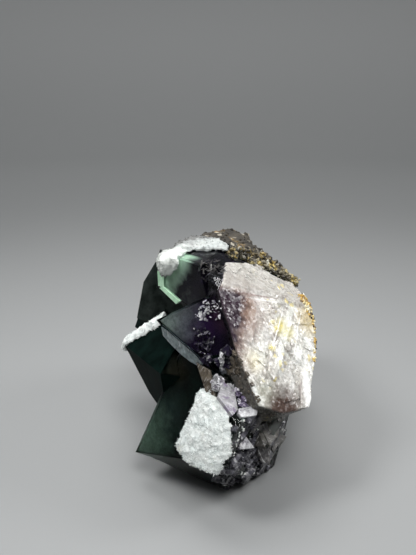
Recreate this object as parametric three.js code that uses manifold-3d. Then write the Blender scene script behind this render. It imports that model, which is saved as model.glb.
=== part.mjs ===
// Fluorite specimen: a cluster of intergrown octahedra, green outside and violet inside, broken open
// on its front, with white crusts on its grown faces and brown matrix rock behind.
// Millimetres, +Z up, the broken front towards -Y, resting on z = 0.
import * as THREE from 'three';
import { ConvexGeometry } from 'three/addons/geometries/ConvexGeometry.js';
import { mergeVertices } from 'three/addons/utils/BufferGeometryUtils.js';
import Module from 'manifold-3d';

const wasm = await Module();
wasm.setup();

// Octahedra of the cluster: middle, reach from the middle to a corner, turn about x, y and z in degrees.
const crystals = {
  lower: { middle: [7, -28, 20], reach: 30.5, turn: [0, -21, 8] },
  central: { middle: [9, -23.5, 42.5], reach: 24.5, turn: [19, 16, 3] },
  upper: { middle: [1, -13.5, 57.5], reach: 17.5, turn: [34, -18, 1] },
  left: { middle: [-6.5, -15, 29], reach: 22, turn: [-14, 14, -18] },
  rear: { middle: [-6, 15, 36], reach: 24.5, turn: [1, -25, -18] },
  back: { middle: [5, 29, 30], reach: 18, turn: [20, 10, 40] },
  backRight: { middle: [20, 17, 25], reach: 19, turn: [25, 15, -30] },
  leftFoot: { middle: [-5, 13, 11], reach: 13, turn: [10, -12, 20] },
};

// The big pale cleaved face on the right: a point on it, its outward direction, its outline along and up
// the face from that point, and the depth of the broken crystal behind it.
const paleFace = {
  point: [3.5, -29.5, 58],
  outward: [0.53, -0.59, 0.61],
  outline: [
    [-4, -32], [2, -36], [9.5, -37.5], [15.5, -33], [22.4, -26],
    [27.8, -18], [30.8, -9], [30.5, -4], [28.5, 6], [0, 6],
  ],
  depth: 18,
};
// Thin ledges left on the pale face where it split in steps: outline on the face and height.
const paleLedges = [
  { outline: [[1, -4], [9, -6], [13, -16], [6, -22], [-1, -14]], height: 0.7 },
  { outline: [[13, -9], [19, -11], [20, -22], [15, -27], [12, -20]], height: 1 },
  { outline: [[4, -24], [11, -27], [9, -35], [3, -34]], height: 0.8 },
  { outline: [[20, -8], [26, -10], [25, -17], [21, -16]], height: 0.6 },
];
// Breaks that cut one crystal or the whole upper part.
const paleTopBreak = { point: [4.5, -29, 59.5], outward: [0.48, -0.24, 0.84] };
const upperTopBreak = { point: [-8.5, -17, 64.5], outward: [0, -0.04, 1] };
const centralFrontBreak = { point: [2.5, -38, 43], outward: [-0.09, -0.97, -0.25] };
const lowerRightBreak = { point: [12.5, -37.5, 0], outward: [0.83, -0.55, -0.1] };
const lowerTipBreak = { point: [5.2, -37.4, 0], outward: [0.45, -0.61, -0.65] };
const leftUnderBreak = { point: [-17.5, -13, 19], outward: [-0.3, 0.2, -0.93] };

// The broken foot under the lower crystal: its corners, and the distance from its middle to its sides.
const lowerFoot = {
  corners: [
    [-20.6, -32, 9.3], [-4.5, -44.3, 14.8], [3.5, -51.5, 17.5],
    [5.2, -37.4, 0], [18.2, -27.8, 0], [0, -25, 0], [8, -35, 20],
  ],
  depth: 4,
};

// Small octahedra standing out of the lower right break.
const brokenBlocks = [
  { middle: [14.5, -27, 9], reach: 10, turn: [0, -21, 8] },
  { middle: [14, -33, 17], reach: 9, turn: [4, -18, 14] },
  { middle: [17.5, -22, 18.5], reach: 10, turn: [0, -24, 4] },
];

// White crusts: each has one patch or more, with the crystal face or break that the patch covers, its
// outline along and up that face from the face's point, and its thickness.
const crusts = {
  crust_front: [
    {
      face: { crystal: 'lower', corners: ['left', 'front', 'top'] },
      outline: [
        [1, 8], [6, 8], [11, 6.5], [15.5, 2], [17, -5],
        [14, -11.5], [8, -12.5], [2, -12.5], [-2, -10.5], [0, 0],
      ],
      thickness: 2,
    },
  ],
  crust_left: [
    {
      face: { crystal: 'left', corners: ['left', 'top', 'back'] },
      outline: [[19, -4.5], [18, -1], [9, 7], [-3, 16.5], [-7, 9], [-1, 1], [7, -4], [14, -7]],
      thickness: 3.4,
    },
  ],
  crust_upper: [
    {
      face: { crystal: 'upper', corners: ['left', 'top', 'back'] },
      outline: [[3.5, -11], [7.5, -5], [9, 0], [3, 3], [-4, 2], [-6, -3], [-1, -9]],
      thickness: 4.2,
    },
    {
      face: upperTopBreak,
      outline: [[-1, 6], [6, 4], [14, 5], [15, 10], [10, 17], [3, 17], [-2, 11]],
      thickness: 2,
    },
  ],
};
// Unevenness of the crusts, fineness of their surface and the seed of their scatter.
const crustRoughness = 0.6;
const crustDetail = 7;
const crustSeed = 5;

// The matrix rock: its middle, its faces by direction and distance from the middle, how sharp the edges
// between them are, and the unevenness, fineness and seed of its surface.
const rock = {
  middle: [12, 12, 30],
  faces: [
    { outward: [0.2, -0.1, 0.97], distance: 28.5 },
    { outward: [0.97, 0, 0.2], distance: 18.5 },
    { outward: [0.7, 0.1, 0.7], distance: 24.5 },
    { outward: [0, 1, 0.1], distance: 31 },
    { outward: [0.75, 0.65, 0.1], distance: 23 },
    { outward: [-0.6, 0.75, 0.2], distance: 27 },
    { outward: [-0.95, -0.25, 0.2], distance: 20 },
    { outward: [-0.6, 0.1, 0.8], distance: 36 },
    { outward: [0, -1, 0], distance: 34 },
    { outward: [0.75, -0.2, -0.65], distance: 23 },
    { outward: [0.1, 0.75, -0.65], distance: 29 },
    { outward: [-0.4, -0.3, -0.85], distance: 30 },
    { outward: [0, 0, -1], distance: 33 },
  ],
  edgeSharpness: 12,
  roughness: 0.05,
  detail: 7,
  seed: 21,
};
// How far the rock stays behind the pale face beside it.
const rimSetBack = 0.8;

// The flat ground that the specimen's underside is cut to.
const underside = { point: [0, 0, 0], outward: [0, 0, -1] };

// Clearance between pieces that grew on each other.
const contactGap = 0.3;
// Side of the block that a break takes away, larger than the specimen.
const breakBlock = 400;
// Corners nearer than this are one corner.
const sameCorner = 0.0001;

// Directions from an octahedron's middle to its corners, before its turn.
const cornerDirections = {
  left: [-1, 0, 0],
  right: [1, 0, 0],
  front: [0, -1, 0],
  back: [0, 1, 0],
  top: [0, 0, 1],
};

// The bare surface of a geometry, with its corners shared.
function bareGeometry(geometry) {
  geometry.deleteAttribute('normal');
  geometry.deleteAttribute('uv');
  return mergeVertices(geometry, sameCorner);
}

function toSolid(geometry) {
  const merged = bareGeometry(geometry);
  return new wasm.Manifold(new wasm.Mesh({
    numProp: 3,
    vertProperties: new Float32Array(merged.attributes.position.array),
    triVerts: new Uint32Array(merged.index.array),
  }));
}

function toMesh(name, solid, material) {
  const { vertProperties, triVerts } = solid.getMesh();
  const geometry = new THREE.BufferGeometry();
  geometry.setAttribute('position', new THREE.BufferAttribute(vertProperties, 3));
  geometry.setIndex(new THREE.BufferAttribute(triVerts, 1));
  const mesh = new THREE.Mesh(geometry, material);
  mesh.name = name;
  return mesh;
}

function turnOf({ turn }) {
  const [x, y, z] = turn.map((degrees) => THREE.MathUtils.degToRad(degrees));
  return new THREE.Matrix4().makeRotationFromEuler(new THREE.Euler(x, y, z));
}

function octahedron(crystal, grow) {
  const geometry = new THREE.OctahedronGeometry(crystal.reach + grow * Math.sqrt(3));
  geometry.applyMatrix4(turnOf(crystal));
  geometry.translate(...crystal.middle);
  return toSolid(geometry);
}

function footBlock(grow) {
  const corners = lowerFoot.corners.map((corner) => new THREE.Vector3(...corner));
  const middle = new THREE.Vector3();
  for (const corner of corners) {
    middle.addScaledVector(corner, 1 / corners.length);
  }
  const growth = 1 + grow / lowerFoot.depth;
  const grown = corners.map((corner) => corner.clone().sub(middle).multiplyScalar(growth).add(middle));
  return toSolid(new ConvexGeometry(grown));
}

// Axes of a flat face: along it, up it and out of it. A level face runs along x.
function faceAxes(outward) {
  const out = new THREE.Vector3(...outward).normalize();
  const along = new THREE.Vector3(0, 0, 1).cross(out);
  if (along.length() < sameCorner) {
    along.set(1, 0, 0);
  }
  along.normalize();
  const up = new THREE.Vector3().crossVectors(out, along);
  return new THREE.Matrix4().makeBasis(along, up, out);
}

// Everything on the outer side of a break.
function outside({ point, outward }, grow) {
  const geometry = new THREE.BoxGeometry(breakBlock, breakBlock, breakBlock);
  geometry.translate(0, 0, breakBlock / 2 + grow);
  geometry.applyMatrix4(faceAxes(outward));
  geometry.translate(...point);
  return toSolid(geometry);
}

// A plate of an outline on the pale face, from a depth below it to a height above it.
function palePlate(outline, depth, height) {
  const shape = new THREE.Shape(outline.map(([along, up]) => new THREE.Vector2(along, up)));
  const geometry = new THREE.ExtrudeGeometry(shape, { depth: depth + height, bevelEnabled: false });
  geometry.translate(0, 0, -depth);
  geometry.applyMatrix4(faceAxes(paleFace.outward).setPosition(...paleFace.point));
  return toSolid(geometry);
}

function paleSlab(grow) {
  let slab = palePlate(paleFace.outline, paleFace.depth, grow);
  for (const { outline, height } of paleLedges) {
    slab = slab.add(palePlate(outline, paleFace.depth, height + grow));
  }
  return slab;
}

function cluster(grow) {
  const upper = octahedron(crystals.upper, grow).subtract(outside(upperTopBreak, grow));
  const right = octahedron(crystals.central, grow)
    .subtract(outside(centralFrontBreak, grow))
    .add(upper)
    .subtract(outside(paleFace, grow))
    .add(paleSlab(grow))
    .subtract(outside(paleTopBreak, grow));
  const left = octahedron(crystals.left, grow).subtract(outside(leftUnderBreak, grow));
  let lower = octahedron(crystals.lower, grow)
    .add(footBlock(grow))
    .subtract(outside(lowerRightBreak, grow))
    .subtract(outside(lowerTipBreak, grow));
  for (const block of brokenBlocks) {
    lower = lower.add(octahedron(block, grow));
  }
  return right
    .add(left)
    .add(lower)
    .add(octahedron(crystals.rear, grow))
    .add(octahedron(crystals.back, grow))
    .add(octahedron(crystals.backRight, grow))
    .add(octahedron(crystals.leftFoot, grow))
    .subtract(outside(underside, 0));
}

// Repeatable scatter between 0 and 1.
function seeded(seed) {
  const step = 16807;
  const period = 2147483647;
  let state = seed;
  return () => {
    state = (state * step) % period;
    return state / period;
  };
}

function cornerOf(crystal, name) {
  return new THREE.Vector3(...cornerDirections[name])
    .multiplyScalar(crystal.reach)
    .applyMatrix4(turnOf(crystal))
    .add(new THREE.Vector3(...crystal.middle));
}

// The middle and outward direction of an octahedron's face.
function crystalFace({ crystal, corners }) {
  const inside = new THREE.Vector3(...crystals[crystal].middle);
  const point = new THREE.Vector3();
  for (const name of corners) {
    point.addScaledVector(cornerOf(crystals[crystal], name), 1 / corners.length);
  }
  return { point: point.toArray(), outward: point.clone().sub(inside).toArray() };
}

// How far an outline reaches from its centre in one direction.
function outlineReach(points, centre, angle) {
  const ray = new THREE.Vector2(Math.cos(angle), Math.sin(angle));
  let reach = 0;
  points.forEach((point, i) => {
    const start = point.clone().sub(centre);
    const side = points[(i + 1) % points.length].clone().sub(point);
    const slant = ray.cross(side);
    const distance = start.cross(side) / slant;
    const share = start.cross(ray) / slant;
    if (distance > 0 && share >= 0 && share <= 1) {
      reach = Math.max(reach, distance);
    }
  });
  return reach;
}

// A crust patch is a low uneven cushion over its face, with the outline given.
function crustPatch({ face, outline, thickness }, seed, grow) {
  const { point, outward } = face.crystal ? crystalFace(face) : face;
  const points = outline.map(([along, up]) => new THREE.Vector2(along, up));
  const centre = new THREE.Vector2();
  for (const corner of points) {
    centre.addScaledVector(corner, 1 / points.length);
  }
  const random = seeded(seed);
  const cushion = bareGeometry(new THREE.IcosahedronGeometry(1, crustDetail));
  const position = cushion.attributes.position;
  for (let i = 0; i < position.count; i += 1) {
    const angle = Math.atan2(position.getY(i), position.getX(i));
    const across = Math.hypot(position.getX(i), position.getY(i));
    const reach = (outlineReach(points, centre, angle) + grow) * across + crustRoughness * (random() - 0.5);
    const height = (thickness + grow) * position.getZ(i) + crustRoughness * (random() - 0.5);
    const along = centre.x + reach * Math.cos(angle);
    const up = centre.y + reach * Math.sin(angle);
    position.setXYZ(i, along, up, height);
  }
  cushion.applyMatrix4(faceAxes(outward).setPosition(...point));
  return toSolid(cushion);
}

function crust(patches, seed, grow) {
  let solid = crustPatch(patches[0], seed, grow);
  patches.slice(1).forEach((patch, i) => {
    solid = solid.add(crustPatch(patch, seed + patches.length + i, grow));
  });
  return solid;
}

// The rock is a ball drawn in to its rough faces.
function matrixRock() {
  const ball = bareGeometry(new THREE.IcosahedronGeometry(1, rock.detail));
  const outs = rock.faces.map(({ outward }) => new THREE.Vector3(...outward).normalize());
  const random = seeded(rock.seed);
  const position = ball.attributes.position;
  const direction = new THREE.Vector3();
  for (let i = 0; i < position.count; i += 1) {
    direction.fromBufferAttribute(position, i).normalize();
    const powers = rock.faces.map(
      ({ distance }, k) => (Math.max(outs[k].dot(direction), 0) / distance) ** rock.edgeSharpness,
    );
    const nearness = powers.reduce((sum, power) => sum + power, 0) ** (1 / rock.edgeSharpness);
    const reach = (1 + rock.roughness * (2 * random() - 1)) / nearness;
    position.setXYZ(i, direction.x * reach, direction.y * reach, direction.z * reach);
  }
  ball.translate(...rock.middle);
  return toSolid(ball);
}

const fluorite = new THREE.MeshStandardMaterial({ color: 0x2b2340, roughness: 0.12, metalness: 0 });
const white = new THREE.MeshStandardMaterial({ color: 0xe4ebe6, roughness: 0.85, metalness: 0 });
const brown = new THREE.MeshStandardMaterial({ color: 0x8a765c, roughness: 0.9, metalness: 0 });

const cleared = cluster(contactGap);
let matrix = matrixRock()
  .subtract(outside(paleFace, -rimSetBack))
  .subtract(outside(paleTopBreak, -rimSetBack))
  .subtract(outside(underside, 0))
  .subtract(cleared);

const specimen = new THREE.Group();
specimen.add(toMesh('fluorite', cluster(0), fluorite));
Object.entries(crusts).forEach(([name, values], i) => {
  const solid = crust(values, crustSeed + i, 0).subtract(cleared);
  matrix = matrix.subtract(crust(values, crustSeed + i, contactGap));
  specimen.add(toMesh(name, solid, white));
});
specimen.add(toMesh('matrix', matrix, brown));

// The origin is under the middle of the specimen, on the surface that it rests on.
const box = new THREE.Box3().setFromObject(specimen);
const boxMiddle = box.getCenter(new THREE.Vector3());
specimen.position.set(-boxMiddle.x, -boxMiddle.y, -box.min.z);

export default specimen;
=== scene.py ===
import math

import bpy
import numpy as np
from mathutils import Euler, Matrix, Vector, noise


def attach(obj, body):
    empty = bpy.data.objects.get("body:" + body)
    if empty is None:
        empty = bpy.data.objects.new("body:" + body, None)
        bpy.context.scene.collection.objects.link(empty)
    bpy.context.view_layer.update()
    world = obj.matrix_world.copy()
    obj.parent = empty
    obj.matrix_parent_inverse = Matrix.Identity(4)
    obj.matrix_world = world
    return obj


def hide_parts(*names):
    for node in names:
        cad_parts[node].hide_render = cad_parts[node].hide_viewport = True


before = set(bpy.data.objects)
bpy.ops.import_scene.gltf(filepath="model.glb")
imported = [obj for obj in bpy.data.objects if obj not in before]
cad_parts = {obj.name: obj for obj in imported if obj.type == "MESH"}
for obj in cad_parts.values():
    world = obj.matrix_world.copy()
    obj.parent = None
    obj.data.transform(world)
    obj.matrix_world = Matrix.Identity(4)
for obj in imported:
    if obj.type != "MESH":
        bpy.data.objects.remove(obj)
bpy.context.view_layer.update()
mm = 0.001  # the values below are in millimetres, the scene is in metres


def rows(columns, *values):
    # a list of dictionaries, each from a row of values under the columns' names
    return [dict(zip(columns.split(), row)) for row in values]


def namedRows(columns, **values):
    return {name: dict(zip(columns.split(), row)) for name, row in values.items()}


# selection, edit mode and modifiers

def makeActive(piece):
    if bpy.context.object and bpy.context.object.mode != "OBJECT":
        bpy.ops.object.mode_set(mode="OBJECT")
    bpy.ops.object.select_all(action="DESELECT")
    piece.select_set(True)
    bpy.context.view_layer.objects.active = piece


def editAll(piece):
    makeActive(piece)
    bpy.ops.object.mode_set(mode="EDIT")
    bpy.ops.mesh.select_all(action="SELECT")


def leaveEdit():
    bpy.ops.object.mode_set(mode="OBJECT")


def applyModifier(piece, kind, **values):
    makeActive(piece)
    modifier = piece.modifiers.new(kind.title(), kind)
    for name, value in values.items():
        setattr(modifier, name, value)
    bpy.ops.object.modifier_apply(modifier=modifier.name)


def applyPlace(piece):
    makeActive(piece)
    bpy.ops.object.transform_apply(location=True, rotation=True, scale=True)


def joinPieces(pieces, name):
    makeActive(pieces[0])
    for piece in pieces[1:]:
        piece.select_set(True)
    if len(pieces) > 1:
        bpy.ops.object.join()
    joined = bpy.context.object
    joined.name = name
    joined.data.name = name
    return joined


def copyOfNode(nodeName, pieceName, flatten=True):
    piece = bpy.data.objects.new(pieceName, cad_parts[nodeName].data.copy())
    bpy.context.scene.collection.objects.link(piece)
    piece.data.materials.clear()
    editAll(piece)
    bpy.ops.mesh.remove_doubles(threshold=0.002 * mm)
    if flatten:
        bpy.ops.mesh.dissolve_limited(angle_limit=math.radians(0.5))
    leaveEdit()
    return piece


def meshPiece(name, corners, faces):
    mesh = bpy.data.meshes.new(name)
    mesh.from_pydata(corners, [], faces)
    mesh.update()
    piece = bpy.data.objects.new(name, mesh)
    bpy.context.scene.collection.objects.link(piece)
    return piece


def finishPiece(piece, material, slotName, *nodes, smooth=None):
    makeActive(piece)
    if smooth is None:
        bpy.ops.object.shade_flat()
    else:
        bpy.ops.object.shade_smooth_by_angle(angle=math.radians(smooth))
    piece.data.materials.clear()
    piece.data.materials.append(material)
    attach(piece, "root")
    if nodes:
        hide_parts(*nodes)
    print("piece", piece.name, len(piece.data.polygons), "faces")


def cornerArray(piece):
    corners = np.empty(len(piece.data.vertices) * 3)
    piece.data.vertices.foreach_get("co", corners)
    return corners.reshape(-1, 3)


def normalArray(piece):
    normals = np.empty(len(piece.data.vertices) * 3)
    piece.data.vertex_normals.foreach_get("vector", normals)
    return normals.reshape(-1, 3)


def setCorners(piece, corners):
    piece.data.vertices.foreach_set("co", corners.ravel())
    piece.data.update()


def remeshed(piece, fineness):
    applyModifier(piece, "REMESH", mode="VOXEL", voxel_size=fineness * mm, adaptivity=0)
    return cornerArray(piece), normalArray(piece)


def bevelEdges(piece, width, **values):
    applyModifier(piece, "BEVEL", width=width * mm, segments=2, limit_method="ANGLE", **values)


def editRim():
    bpy.ops.object.mode_set(mode="EDIT")
    bpy.ops.mesh.select_all(action="DESELECT")
    bpy.ops.mesh.select_mode(type="EDGE")
    bpy.ops.mesh.select_non_manifold()


def outwardNormals():
    bpy.ops.mesh.select_all(action="SELECT")
    bpy.ops.mesh.normals_make_consistent(inside=False)
    leaveEdit()


def between(rng, limits, bias=1):
    low, high = limits
    return low + (high - low) * rng.random() ** bias


# crystals as they grew: middle, reach from the middle to a corner, turn in degrees,
# depth of the clear skin over the dark inside, colour of that inside, breaks that cut it and crystals over it

crystals = namedRows(
    "middle reach turn skin inside breaks under",
    lower=((2.96, -22.95, 20), 30.5, (0, -21, 8), 0.6, "green", ("lowerRight", "lowerTip", "underside"),
        ("central",)),
    central=((4.96, -18.45, 42.5), 24.5, (19, 16, 3), 0.7, "violet", ("centralFront", "pale", "paleTop"), ()),
    upper=((-3.04, -8.45, 57.5), 17.5, (34, -18, 1), 0.8, "violet", ("upperTop", "pale", "paleTop"),
        ("central",)),
    left=((-10.54, -9.95, 29), 22, (-14, 14, -18), 0.5, "green", ("leftUnder",), ("lower", "central")),
    rear=((-10.04, 20.05, 36), 24.5, (1, -25, -18), 0.6, "green", (), ("left", "upper")),
    back=((0.96, 34.05, 30), 18, (20, 10, 40), 0.6, "green", (), ("rear",)),
    backRight=((15.96, 22.05, 25), 19, (25, 15, -30), 0.6, "violet", (), ("back", "rear")),
    leftFoot=((-9.04, 18.05, 11), 13, (10, -12, 20), 0.5, "green", ("underside",), ("rear",)),
)

# flat breaks: a point on each and its outward direction
breaks = namedRows(
    "point outward",
    pale=((-0.54, -24.45, 58), (0.53, -0.59, 0.61)),
    paleTop=((0.46, -23.95, 59.5), (0.48, -0.24, 0.84)),
    upperTop=((-12.54, -11.95, 64.5), (0, -0.04, 1)),
    centralFront=((-1.54, -32.95, 43), (-0.09, -0.97, -0.25)),
    lowerRight=((8.46, -32.45, 0), (0.83, -0.55, -0.1)),
    lowerTip=((1.16, -32.35, 0), (0.45, -0.61, -0.65)),
    leftUnder=((-21.54, -7.95, 19), (-0.3, 0.2, -0.93)),
    underside=((0, 0, 0), (0, 0, -1)),
)

# other flat faces that carry flakes and small plates
faces = namedRows(
    "point outward",
    centralFace=((-4.9, -27.6, 49.2), (-0.37, -0.8, 0.47)),
    centralBevel=((-11.5, -26, 41.8), (-0.67, -0.73, -0.14)),
    upperFace=((-13.7, -12, 58.7), (-0.72, -0.7, -0.02)),
    upperRight=((-3.5, -18.6, 62.2), (0.38, -0.88, 0.29)),
    lowerFace=((-17.7, -29.9, 18.2), (-0.67, -0.65, 0.36)),
    neck=((0.5, -35.8, 35.9), (0.4, -0.49, 0.77)),
    cornerUp=((5.6, -42, 22), (0.25, -0.75, 0.6)),
    cornerSide=((7.5, -37.5, 26), (0.55, -0.8, 0.25)),
    pillarSide=((11.5, -34, 16), (0.45, -0.85, 0.2)),
    wall=((2.9, -34.3, 39.1), (-0.745, -0.667, 0)),
)
faces.update(breaks)


def turnOf(crystal):
    turn = [math.radians(degrees) for degrees in crystal["turn"]]
    return Euler(turn, "ZYX").to_matrix()


def faceAxes(flat):
    out = Vector(flat["outward"]).normalized()
    along = Vector((0, 0, 1)).cross(out)
    along = along.normalized() if along.length > 0.001 else Vector((1, 0, 0))
    axes = Matrix((along, out.cross(along), out)).transposed().to_4x4()
    axes.translation = Vector(flat["point"]) * mm
    return axes


def addOctahedron(name, middle, reach, turn):
    bpy.ops.mesh.primitive_cone_add(
        vertices=4, radius1=reach * mm, radius2=0, depth=reach * mm, end_fill_type="NOTHING",
        location=(0, 0, 0.5 * reach * mm))
    piece = bpy.context.object
    piece.name = name
    applyPlace(piece)
    # the lower half: the open rim drawn down to a point
    editRim()
    bpy.ops.mesh.extrude_region_move(TRANSFORM_OT_translate={"value": (0, 0, -reach * mm)})
    bpy.ops.mesh.merge(type="CENTER")
    bpy.ops.mesh.select_mode(type="VERT")
    outwardNormals()
    piece.location = Vector(middle) * mm
    piece.rotation_euler = turn.to_euler("XYZ")
    applyPlace(piece)
    return piece


def cutAway(piece, flat, inset):
    out = Vector(flat["outward"]).normalized()
    editAll(piece)
    bpy.ops.mesh.bisect(
        plane_co=(Vector(flat["point"]) - out * inset) * mm, plane_no=out,
        use_fill=True, clear_outer=True, threshold=0.0001 * mm)
    leaveEdit()


# materials: a look is a material, its node tree and the place that its textures read

class Look:
    def __init__(self, name):
        self.material = bpy.data.materials.new(name)
        self.material.use_nodes = True
        self.tree = self.material.node_tree
        self.shader = self.tree.nodes["Principled BSDF"]
        self.place = self.add("TexCoord", output="Object")

    def fill(self, socket, value):
        if isinstance(value, bpy.types.NodeSocket):
            self.tree.links.new(value, socket)
        else:
            socket.default_value = (*value, 1) if socket.type == "RGBA" else value

    def add(self, kind, inputs=None, output=0, **settings):
        node = self.tree.nodes.new("ShaderNode" + kind)
        for name, value in settings.items():
            setattr(node, name, value)
        for name, value in (inputs or {}).items():
            self.fill(node.inputs[name], value)
        return node.outputs[output]

    def give(self, inputs):
        for name, value in inputs.items():
            self.fill(self.shader.inputs[name], value)
        return self.material

    def combine(self, operation, first, second):
        return self.add("Math", {0: first, 1: second}, operation=operation)

    def times(self, first, second):
        return self.combine("MULTIPLY", first, second)

    def vector(self, operation, inputs, output="Vector"):
        return self.add("VectorMath", inputs, output, operation=operation)

    def levels(self, value, low, high, toLow=0, toHigh=1):
        return self.add("MapRange", {
            "Value": value, "From Min": low, "From Max": high, "To Min": toLow, "To Max": toHigh})

    def noise(self, size, detail=4, rough=0.55, distortion=0, place=None):
        return self.add("TexNoise", {
            "Vector": place or self.place, "Scale": 1 / (size * mm), "Detail": detail,
            "Roughness": rough, "Distortion": distortion})

    def cells(self, size, output="Color", place=None):
        return self.add("TexVoronoi", {"Vector": place or self.place, "Scale": 1 / (size * mm)}, output)

    def cellPart(self, size, part="Red", place=None):
        # a random value for every cell
        return self.add("SeparateColor", {"Color": self.cells(size, place=place)}, part)

    def ramp(self, value, stops):
        colour = self.add("ValToRGB", {"Fac": value})
        elements = colour.node.color_ramp.elements
        while len(elements) < len(stops):
            elements.new(0.5)
        for element, (position, shade) in zip(elements, stops):
            element.position = position
            element.color = (*shade, 1)
        return colour

    def mix(self, amount, first, second, blend="MIX"):
        # a mix node's colour sockets are 6, 7 and 2 among those of its other kinds
        return self.add("Mix", {0: amount, 6: first, 7: second}, 2, data_type="RGBA", blend_type=blend)

    def tint(self, colour, mask, amount, tint):
        return self.mix(self.times(mask, amount), colour, tint)

    def sway(self, value, wobble, reach):
        if wobble is None:
            return value
        return self.combine("ADD", value, self.times(self.combine("SUBTRACT", wobble, 0.5), 2 * reach * mm))

    def spot(self, middle, radius, soft, wobble=None):
        distance = self.vector("DISTANCE", {0: self.place, 1: Vector(middle) * mm}, "Value")
        return self.levels(self.sway(distance, wobble, soft), (radius - soft) * mm, (radius + soft) * mm, 1, 0)

    def zones(self, colour, zones, wobble):
        for zone in zones:
            mask = self.spot(zone["middle"], zone["radius"], zone["soft"], wobble)
            colour = self.tint(colour, mask, zone["amount"], zone["tint"])
        return colour

    def slope(self, direction, start, end, wobble=None, reach=0):
        # 0 before the start and 1 after the end, measured along a direction from the origin
        along = self.vector("DOT_PRODUCT", {0: self.place, 1: Vector(direction).normalized()}, "Value")
        return self.levels(self.sway(along, wobble, reach), start * mm, end * mm)

    def bump(self, height, depth, strength=1, after=None):
        inputs = {"Height": height, "Distance": depth * mm, "Strength": strength}
        if after:
            inputs["Normal"] = after
        return self.add("Bump", inputs)

    def facets(self, size, lean, normal, place=None):
        # every cell leans its own way, so that broken crystal glints
        cell = self.vector("SUBTRACT", {0: self.cells(size, place=place), 1: (0.5, 0.5, 0.5)})
        shift = self.vector("SCALE", {0: cell, "Scale": lean})
        return self.vector("NORMALIZE", {0: self.vector("ADD", {0: normal, 1: shift})})

    def stretched(self, turn, scale):
        return self.add("Mapping", {"Vector": self.place, "Rotation": turn, "Scale": scale})

    def streaked(self, flat, heading, stretch):
        # drawn out along one direction on a flat face
        turn = faceAxes(flat).to_3x3() @ Matrix.Rotation(math.radians(heading), 3, "Z")
        return self.add("Mapping", {
            "Vector": self.place, "Rotation": turn.to_euler(), "Scale": (stretch, 1, 1)}, vector_type="TEXTURE")

    def ribbon(self, flat, ribbon):
        # a long spot on a flat face, from one point of the face to another
        axes = faceAxes(flat)
        start, end = Vector(ribbon["start"]), Vector(ribbon["end"])
        way = end - start
        turn = axes.to_3x3() @ Matrix.Rotation(math.atan2(way.y, way.x), 3, "Z")
        near = self.add("Mapping", {
            "Vector": self.place, "Location": axes @ (((start + end) / 2).to_3d() * mm),
            "Rotation": turn.to_euler(), "Scale": Vector((0.5 * way.length, 0.5 * ribbon["width"], 4)) * mm},
            vector_type="TEXTURE")
        return self.levels(self.vector("LENGTH", {0: near}, "Value"), 0.6, 1, ribbon["amount"], 0)


glassLook = {
    "colour": (0.80, 0.93, 0.86), "violetColour": (0.80, 0.74, 0.93),
    "violetPlace": (2, -24, 50), "violetReach": 17,
    "absorbed": (0.10, 0.66, 0.42), "density": 60, "ior": 1.434, "gloss": (0.25, 0.25, 0.25),
    "roughLow": 0.03, "roughHigh": 0.16, "etchedUnder": 0.45, "dulledRear": 0.3,
    "brokenPlace": (16, -29, 16), "brokenReach": 9,
}


def fluoriteGlass():
    look = Look("fluorite glass")
    violet = look.spot(glassLook["violetPlace"], glassLook["violetReach"], 5, look.noise(6))
    rough = look.levels(look.noise(5, 6, 0.6), 0.45, 0.75, glassLook["roughLow"], glassLook["roughHigh"])
    # faces that look down, the broken side and the rear crystals are etched
    facing = look.add("SeparateXYZ", {"Vector": look.add("NewGeometry", output="True Normal")}, "Z")
    broken = look.spot(glassLook["brokenPlace"], glassLook["brokenReach"], 2)
    for dulled in (look.levels(facing, -0.1, -0.25, 0, glassLook["etchedUnder"]),
                   look.times(broken, glassLook["etchedUnder"]),
                   look.times(look.slope((0, 1, 0), 0, 6), glassLook["dulledRear"])):
        rough = look.combine("MAXIMUM", rough, dulled)
    normal = look.bump(look.noise(3.5, 3, 0.5), 0.12, 0.5)
    volume = look.add("VolumeAbsorption", {"Color": glassLook["absorbed"], "Density": glassLook["density"]})
    look.tree.links.new(volume, look.tree.nodes["Material Output"].inputs["Volume"])
    return look.give({
        "Base Color": look.mix(violet, glassLook["colour"], glassLook["violetColour"]), "Roughness": rough,
        "Transmission Weight": 1, "Specular Tint": glassLook["gloss"], "IOR": glassLook["ior"],
        "Normal": look.bump(look.cells(2.2, "Distance"), 0.06, 0.4, normal)})


zoneColumns = "middle radius soft amount tint"
greenZones = rows(
    zoneColumns,
    ((-16, -28, 22), 6, 5, 0.6, (0.040, 0.056, 0.056)),
    ((-24, -25, 14), 9, 6, 0.85, (0.12, 0.165, 0.135)),
    ((-24, -9, 30), 5, 3, 0.5, (0.010, 0.040, 0.032)),
    ((-13, -26, 35), 3, 2.5, 0.6, (0.045, 0.035, 0.022)),
)
violetZones = rows(
    zoneColumns,
    ((-5.5, -26.5, 48), 5, 3.5, 0.9, (0.027, 0.009, 0.048)),
    ((-15.5, -22, 48.5), 6.5, 4.5, 0.92, (0.27, 0.31, 0.275)),
    ((-11, -21, 52.5), 4, 3, 0.6, (0.055, 0.056, 0.055)),
    ((3, -26, 52), 5, 3, 0.8, (0.045, 0.020, 0.020)),
)
# pale green along the upper crystal's left: a direction with the start and the end of the change for each limit
upperGreen = {"tint": (0.80, 0.98, 0.80), "amount": 0.95, "sway": 2.5,
              "edge": ((-0.513, 0.528, 0.68), 36.5, 42.5),
              "limits": [((0, 0, 1), 49, 51), ((0.7, -0.72, 0), 6.5, 3.5), ((-0.72, -0.7, -0.02), 12, 13.5)]}


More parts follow.
